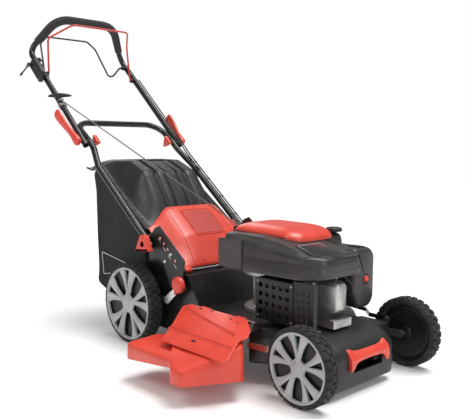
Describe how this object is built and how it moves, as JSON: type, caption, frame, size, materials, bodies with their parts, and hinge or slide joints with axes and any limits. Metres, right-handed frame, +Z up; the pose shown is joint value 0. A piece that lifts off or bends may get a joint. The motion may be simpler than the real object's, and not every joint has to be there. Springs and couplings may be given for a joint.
{
  "type": "push lawn mower",
  "caption": "Petrol rotary lawn mower with steel deck, rear grass bag, side chute, height lever, pull starter and a folding handle with two control bails.",
  "frame": {"origin": "on the ground under the middle of the bounding box", "axes": "+X forward, +Y to the left of a person pushing it, +Z up"},
  "size_m": [1.5975, 0.719, 1.122],
  "materials": {
    "black_steel": "satin",
    "deck_steel": "satin",
    "red_plastic": "satin",
    "black_plastic": "matte",
    "cowl_plastic": "satin",
    "grey_plastic": "satin",
    "tyre": "matte",
    "bright_steel": "brushed",
    "dull_steel": "brushed",
    "black_tube": "gloss",
    "foam": "matte",
    "red_wire": "gloss",
    "cast_alloy": "cast",
    "cast_iron": "cast",
    "rubber": "matte",
    "cord": "woven",
    "bag_cloth": "woven"
  },
  "bodies": {
    "chassis": {"deck": "deck_steel", "front_cover": "black_plastic", "front_grab_handle": "red_plastic", "discharge_chute": "red_plastic", "deck_fasteners": "bright_steel", "handle_brackets": "black_steel", "handle_locks": "red_plastic", "washout_port": "black_plastic", "engine_block": "cast_alloy", "rocker_cover": "cast_alloy", "engine_cowl": "cowl_plastic", "top_cover": "red_plastic", "air_filter_cover": "cowl_plastic", "muffler": "dull_steel", "muffler_guard": "black_steel", "drive_belt": "rubber", "gearbox": "cast_alloy"},
    "rear_crank": {"rear_axle": "dull_steel", "rear_bearings": "black_plastic", "height_lever": "bright_steel", "height_knob": "red_plastic"},
    "front_crank": {"front_axle": "dull_steel", "front_bearings": "black_plastic"},
    "link": {"height_link": "dull_steel"},
    "front_left_wheel": {"wheel_front_left": "tyre", "hubcap_front_left": "grey_plastic"},
    "front_right_wheel": {"wheel_front_right": "tyre", "hubcap_front_right": "grey_plastic"},
    "rear_left_wheel": {"wheel_rear_left": "tyre", "hubcap_rear_left": "grey_plastic"},
    "rear_right_wheel": {"wheel_rear_right": "tyre", "hubcap_rear_right": "grey_plastic"},
    "rotor": {"crankshaft": "dull_steel", "flywheel": "cast_iron", "blade_mount": "cast_iron", "blade": "bright_steel"},
    "lower_frame": {"lower_handle": "black_tube", "clamp_bolts": "red_plastic", "cable_clips": "black_plastic"},
    "upper_frame": {"upper_handle": "black_tube", "foam_grip": "foam", "control_box": "black_plastic", "rope_guide": "dull_steel", "brake_cable": "rubber", "drive_cable": "rubber", "starter_rope": "cord"},
    "cam_left": {"cam_lever_left": "red_plastic"},
    "cam_right": {"cam_lever_right": "red_plastic"},
    "stop_bail": {"opc_bail": "red_wire"},
    "drive_bail": {"drive_bail": "black_tube"},
    "throttle": {"throttle_lever": "black_plastic"},
    "pull_grip": {"starter_grip": "black_plastic"},
    "rear_door": {"rear_flap": "red_plastic"},
    "side_door": {"side_flap": "red_plastic"},
    "bag": {"bag_fabric": "bag_cloth", "bag_lid": "black_plastic", "bag_frame": "dull_steel"},
    "fuel_cap": {"fuel_cap": "black_plastic"},
    "dipstick": {"dipstick": "black_plastic"},
    "primer": {"primer_bulb": "red_plastic"}
  },
  "joints": [
    {"name": "height_adjust", "type": "hinge", "parent": "chassis", "child": "rear_crank", "pos_m": [-0.06425, 0.1035, 0.1275], "axis": [0, 1, 0], "range_deg": [-20, 25]},
    {"name": "front_crank", "type": "hinge", "parent": "chassis", "child": "front_crank", "pos_m": [0.65375, 0.1035, 0.1], "axis": [0, 1, 0], "range_deg": [-20, 25]},
    {"name": "link_pin", "type": "hinge", "parent": "rear_crank", "child": "link", "pos_m": [-0.06425, 0.1035, 0.1615], "axis": [0, 1, 0], "range_deg": [-25, 20]},
    {"name": "front_left_spin", "type": "hinge", "parent": "front_crank", "child": "front_left_wheel", "pos_m": [0.69875, 0.3365, 0.1], "axis": [0, 1, 0], "continuous": true},
    {"name": "front_right_spin", "type": "hinge", "parent": "front_crank", "child": "front_right_wheel", "pos_m": [0.69875, -0.1295, 0.1], "axis": [0, 1, 0], "continuous": true},
    {"name": "rear_left_spin", "type": "hinge", "parent": "rear_crank", "child": "rear_left_wheel", "pos_m": [-0.01925, 0.3275, 0.1275], "axis": [0, 1, 0], "continuous": true},
    {"name": "rear_right_spin", "type": "hinge", "parent": "rear_crank", "child": "rear_right_wheel", "pos_m": [-0.01925, -0.1205, 0.1275], "axis": [0, 1, 0], "continuous": true},
    {"name": "crank_spin", "type": "hinge", "parent": "chassis", "child": "rotor", "pos_m": [0.39875, 0.1035, 0.128], "axis": [0, 0, 1], "continuous": true},
    {"name": "lower_fold", "type": "hinge", "parent": "chassis", "child": "lower_frame", "pos_m": [0.04875, 0.1035, 0.324], "axis": [0, 1, 0], "range_deg": [0, 60], "deforming": ["brake_cable", "drive_cable", "starter_rope"]},
    {"name": "upper_fold", "type": "hinge", "parent": "lower_frame", "child": "upper_frame", "pos_m": [-0.33225, 0.1035, 0.64], "axis": [0, 1, 0], "range_deg": [0, 104], "deforming": ["brake_cable", "drive_cable", "starter_rope"]},
    {"name": "cam_left_open", "type": "hinge", "parent": "lower_frame", "child": "cam_left", "pos_m": [-0.33225, 0.3345, 0.64], "axis": [-0.6664, 0, -0.7456], "range_deg": [0, 100]},
    {"name": "cam_right_open", "type": "hinge", "parent": "lower_frame", "child": "cam_right", "pos_m": [-0.33225, -0.1275, 0.64], "axis": [0.6664, 0, 0.7456], "range_deg": [0, 100]},
    {"name": "stop_bail_squeeze", "type": "hinge", "parent": "upper_frame", "child": "stop_bail", "pos_m": [-0.61325, 0.1035, 0.89115], "axis": [0, -1, 0], "range_deg": [0, 27], "stiffness_Nm_per_rad": 1, "springref_deg": -20},
    {"name": "drive_bail_squeeze", "type": "hinge", "parent": "upper_frame", "child": "drive_bail", "pos_m": [-0.67625, 0.1035, 0.94746], "axis": [0, 1, 0], "range_deg": [0, 30], "stiffness_Nm_per_rad": 1, "springref_deg": -20},
    {"name": "throttle_turn", "type": "hinge", "parent": "upper_frame", "child": "throttle", "pos_m": [-0.65325, -0.1375, 0.926], "axis": [0, 1, 0], "range_deg": [-25, 25]},
    {"name": "starter_pull", "type": "slide", "parent": "upper_frame", "child": "pull_grip", "axis": [-0.2996, -0.0999, 0.9488], "range_m": [0, 0.45], "deforming": ["starter_rope"]},
    {"name": "rear_flap_lift", "type": "hinge", "parent": "chassis", "child": "rear_door", "pos_m": [0.16875, 0.1035, 0.25], "axis": [0, 1, 0], "range_deg": [0, 35]},
    {"name": "side_flap_lift", "type": "hinge", "parent": "chassis", "child": "side_door", "pos_m": [0.42875, -0.1395, 0.18], "axis": [-1, 0, 0], "range_deg": [0, 60]},
    {"name": "bag_slide", "type": "slide", "parent": "chassis", "child": "bag", "axis": [-0.9901, 0, 0.14], "range_m": [0, 0.5]},
    {"name": "fuel_cap_turn", "type": "hinge", "parent": "chassis", "child": "fuel_cap", "pos_m": [0.51175, 0.2245, 0.387], "axis": [0, 0, 1], "range_deg": [0, 90]},
    {"name": "dipstick_turn", "type": "hinge", "parent": "chassis", "child": "dipstick", "pos_m": [0.43675, 0.2035, 0.246], "axis": [0, 0, 1], "range_deg": [0, 90]},
    {"name": "primer_push", "type": "slide", "parent": "chassis", "child": "primer", "axis": [-1, 0, 0], "range_m": [0, 0.004], "stiffness_N_per_m": 200}
  ],
  "couplings": [
    {"joint": "front_crank", "follows": "height_adjust", "ratio": 1},
    {"joint": "link_pin", "follows": "height_adjust", "ratio": -1}
  ]
}
